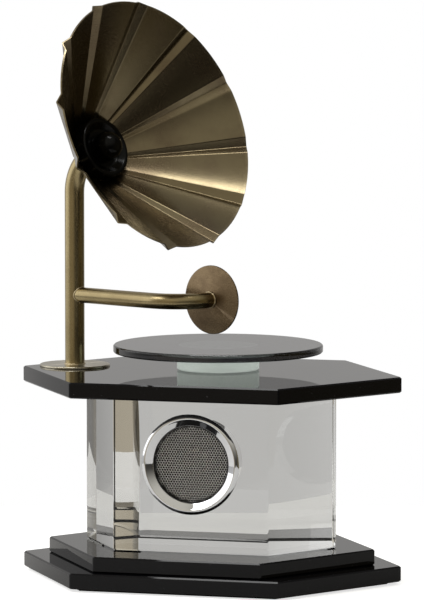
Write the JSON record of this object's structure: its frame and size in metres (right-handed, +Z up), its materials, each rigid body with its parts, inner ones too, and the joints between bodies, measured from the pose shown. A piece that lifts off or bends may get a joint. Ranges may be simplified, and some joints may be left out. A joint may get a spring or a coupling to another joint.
{
  "type": "gramophone horn loudspeaker",
  "caption": "Desk loudspeaker shaped like a gramophone: ribbed brass horn on a bent stand, tone arm and smoked disc over black glass plates and a crystal block.",
  "frame": {"origin": "middle of the felt sheet's underside, level with the table", "axes": "-Y is the front, where the loudspeaker faces; +Z up; the stand is at -X"},
  "size_m": [0.2, 0.1476, 0.2932],
  "materials": {
    "black_glass": "polished black glass, solid all through",
    "crystal": "polished clear crystal glass",
    "smoked_glass": "polished smoked glass",
    "brass": "antique lacquered brass, finely brushed along the tube",
    "horn_brass": "antique brushed brass sheet",
    "chrome": "polished",
    "black_gloss": "glossy black",
    "black_plastic": "satin black",
    "steel": "fine satin",
    "rubber": "matt black",
    "felt": "pressed black felt",
    "paper_cone": "pressed black paper",
    "copper_wire": "enamelled copper winding",
    "ferrite": "dark sintered ferrite",
    "circuit_board": "green solder mask",
    "cell_wrap": "blue shrink wrap"
  },
  "bodies": {
    "base": {"base_felt": "felt", "bottom_plate": "black_glass", "middle_plate": "black_glass", "top_plate": "black_glass", "crystal_block": "crystal", "spindle": "steel", "slip_washer": "black_plastic", "foot_flange": "brass", "stand_tube": "brass", "stand_insert": "steel", "stand_washer": "steel", "stand_screw": "steel", "tone_arm": "brass", "sound_box_disc": "horn_brass", "horn": "horn_brass", "horn_insert": "steel", "horn_stud": "steel", "throat_cup": "black_gloss", "dome_nut": "black_gloss"},
    "turntable": {"spacer_disc": "crystal", "turntable_disc": "smoked_glass"},
    "speaker_unit": {"bezel_ring": "chrome", "grille_mesh": "steel", "grille_gasket": "rubber", "speaker_basket": "black_plastic", "cone_surround": "rubber", "spider": "paper_cone", "pole_plate": "steel", "magnet": "ferrite", "yoke": "steel", "amplifier_board": "circuit_board", "battery_cell": "cell_wrap", "speaker_can": "black_plastic", "grip_band": "rubber", "button_switch": "black_plastic", "audio_socket": "black_plastic"},
    "diaphragm": {"speaker_cone": "paper_cone", "dust_cap": "paper_cone", "voice_coil": "copper_wire"},
    "power_button": {"power_button": "black_gloss"}
  },
  "joints": [
    {"name": "turntable_spin", "type": "hinge", "parent": "base", "child": "turntable", "pos_m": [0.0015, 0.009, 0.1055], "axis": [0, 0, 1], "continuous": true},
    {"name": "speaker_pull", "type": "slide", "parent": "base", "child": "speaker_unit", "axis": [0, -1, 0], "range_m": [0, 0.03]},
    {"name": "cone_travel", "type": "slide", "parent": "speaker_unit", "child": "diaphragm", "axis": [0, -1, 0], "range_m": [-0.001, 0.001], "stiffness_N_per_m": 800},
    {"name": "button_press", "type": "slide", "parent": "speaker_unit", "child": "power_button", "axis": [0, -1, 0], "range_m": [0, 0.0012], "stiffness_N_per_m": 400}
  ]
}
